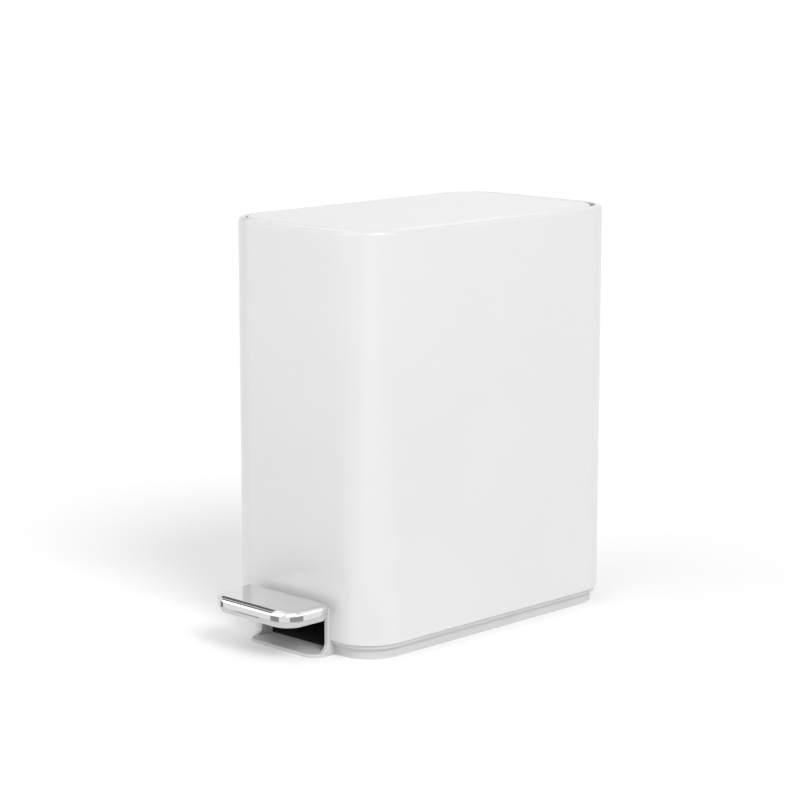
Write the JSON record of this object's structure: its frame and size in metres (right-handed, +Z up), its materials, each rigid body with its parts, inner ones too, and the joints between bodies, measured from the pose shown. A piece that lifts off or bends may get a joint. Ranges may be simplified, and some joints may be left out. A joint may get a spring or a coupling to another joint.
{
  "type": "slim pedal bin",
  "caption": "Slim upright pedal bin: rounded sheet-steel body, flush hinged lid worked by a front pedal through a push rod, and a lift-out inner bucket.",
  "frame": {"origin": "on the floor, under the middle of the steel body's plan", "axes": "+Z up, +X to the bin's right as seen from the pedal, -Y towards the pedal"},
  "size_m": [0.147, 0.3012, 0.295],
  "materials": {
    "white_steel": "satin white coat",
    "grey_plastic": "fine satin",
    "black_plastic": "matt",
    "bucket_plastic": "matt",
    "bright_plate": "polished",
    "zinc_steel": "zinc plated",
    "white_nylon": "satin",
    "white_rubber": "matt",
    "black_rubber": "matt"
  },
  "bodies": {
    "frame": {"body_shell": "white_steel", "top_ring": "black_plastic", "lid_bumpers": "black_rubber", "hinge_bracket": "zinc_steel", "hinge_pin": "zinc_steel", "hinge_rivets": "zinc_steel", "back_cover": "black_plastic", "cover_screws": "zinc_steel", "rod_guide": "black_plastic", "base_ring": "grey_plastic", "chassis": "black_plastic", "base_screws": "zinc_steel", "rubber_feet": "black_rubber", "pedal_axle": "zinc_steel", "axle_clips": "zinc_steel"},
    "lid": {"lid_skin": "white_steel", "lid_liner": "grey_plastic", "lid_screws": "zinc_steel", "lid_arm": "zinc_steel", "crank_pin": "zinc_steel"},
    "pedal": {"pedal_lever": "zinc_steel", "lever_bushes": "white_nylon", "lever_pin": "zinc_steel", "pedal_base": "grey_plastic", "pedal_cap": "bright_plate", "pedal_bumper": "white_rubber", "pedal_screws": "zinc_steel"},
    "push_rod": {"push_rod": "zinc_steel", "rod_head": "white_nylon", "rod_foot": "white_nylon"},
    "bucket": {"inner_bucket": "bucket_plastic"},
    "bail": {"bail": "zinc_steel", "bail_grip": "black_plastic"}
  },
  "joints": [
    {"name": "lid_hinge", "type": "hinge", "parent": "frame", "child": "lid", "pos_m": [0, 0.106, 0.29], "axis": [-1, 0, 0], "range_deg": [0, 75]},
    {"name": "pedal_hinge", "type": "hinge", "parent": "frame", "child": "pedal", "pos_m": [0, -0.031, 0.016], "axis": [1, 0, 0], "range_deg": [0, 7.2]},
    {"name": "push_rod_slide", "type": "slide", "parent": "frame", "child": "push_rod", "axis": [0, 0, 1], "range_m": [0, 0.0158]},
    {"name": "bucket_lift", "type": "slide", "parent": "frame", "child": "bucket", "axis": [0, 0, 1], "range_m": [0, 0.01]},
    {"name": "bail_swing", "type": "hinge", "parent": "bucket", "child": "bail", "pos_m": [0, -0.02, 0.2618], "axis": [-1, 0, 0], "range_deg": [0, 8]}
  ],
  "couplings": [
    {"joint": "pedal_hinge", "follows": "lid_hinge", "ratio": 0.095369},
    {"joint": "push_rod_slide", "follows": "lid_hinge", "m_per_rad": 0.011988}
  ]
}
